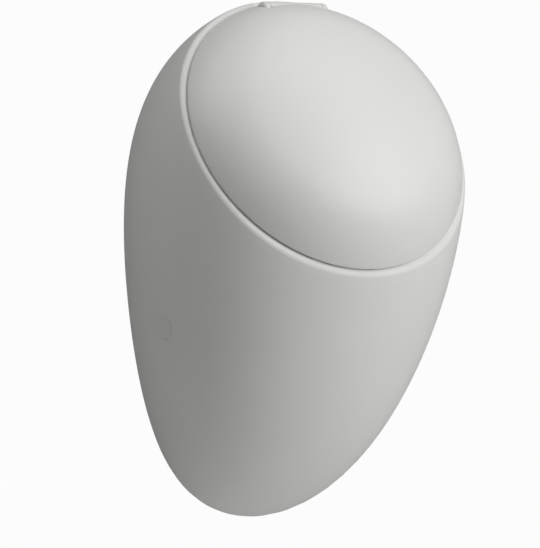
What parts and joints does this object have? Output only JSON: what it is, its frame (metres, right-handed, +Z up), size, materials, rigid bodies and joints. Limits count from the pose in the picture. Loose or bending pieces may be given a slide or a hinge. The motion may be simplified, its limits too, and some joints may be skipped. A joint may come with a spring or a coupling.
{
  "type": "wall hung urinal",
  "caption": "Egg-shaped wall hung urinal with a domed, hinged lid over a slanted round opening and a round cover cap on each side.",
  "frame": {"origin": "on the wall, on the centre line, midway between the two hanger screws, 370 mm above the lowest point of the body", "axes": "+Z up, -Y out of the wall towards the user, +X to the right of someone who faces the wall"},
  "size_m": [0.3348, 0.2786, 0.5159],
  "materials": {
    "white_glazed_china": "satin white glazed ceramic",
    "white_thermoset_lid": "satin white thermoset",
    "white_moulded_plastic": "satin white",
    "black_rubber": "matt black",
    "clear_white_rubber": "milky white",
    "grey_plastic": "matt grey",
    "white_pipe_plastic": "satin white pipe plastic",
    "chromed_brass": "polished chrome",
    "zinc_plated_steel": "bright zinc",
    "stainless_steel": "satin"
  },
  "bodies": {
    "ware": {"ceramic_body": "white_glazed_china", "hinge_base": "white_moulded_plastic", "hinge_gasket": "black_rubber", "hinge_bolts": "stainless_steel", "hinge_bushes": "black_rubber", "damper_shafts": "stainless_steel", "waste_gasket": "black_rubber", "waste_flange": "chromed_brass", "waste_washer": "black_rubber", "waste_nut": "grey_plastic", "trap_body": "white_pipe_plastic", "tail_seal": "black_rubber", "trap_cup": "white_pipe_plastic", "trap_cup_seal": "black_rubber", "outlet_sleeve": "black_rubber", "inlet_tube": "white_pipe_plastic", "inlet_ring": "black_rubber", "inlet_seal": "black_rubber", "spray_seal": "black_rubber", "spray_head": "chromed_brass", "hanger_plate": "zinc_plated_steel", "hanger_pads": "black_rubber", "side_bracket_left": "zinc_plated_steel", "side_bracket_right": "zinc_plated_steel", "clamp_pads": "black_rubber", "clamp_sleeves": "grey_plastic", "clamp_screws": "zinc_plated_steel"},
    "lid": {"lid_shell": "white_thermoset_lid", "lid_buffers": "clear_white_rubber", "hinge_leaf": "white_moulded_plastic", "leaf_screws": "stainless_steel", "damper_left": "grey_plastic", "damper_right": "grey_plastic"},
    "strainer": {"strainer": "chromed_brass"},
    "cap_left": {"side_cap_left": "white_moulded_plastic"},
    "cap_right": {"side_cap_right": "white_moulded_plastic"}
  },
  "joints": [
    {"name": "lid_hinge", "type": "hinge", "parent": "ware", "child": "lid", "pos_m": [0, -0.12513, 0.13372], "axis": [-1, 0, 0], "range_deg": [0, 148]},
    {"name": "strainer_lift", "type": "slide", "parent": "ware", "child": "strainer", "axis": [0, 0, 1], "range_m": [0, 0.06]},
    {"name": "cap_left_pull", "type": "slide", "parent": "ware", "child": "cap_left", "axis": [-1, 0, 0], "range_m": [0, 0.03]},
    {"name": "cap_right_pull", "type": "slide", "parent": "ware", "child": "cap_right", "axis": [1, 0, 0], "range_m": [0, 0.03]}
  ]
}
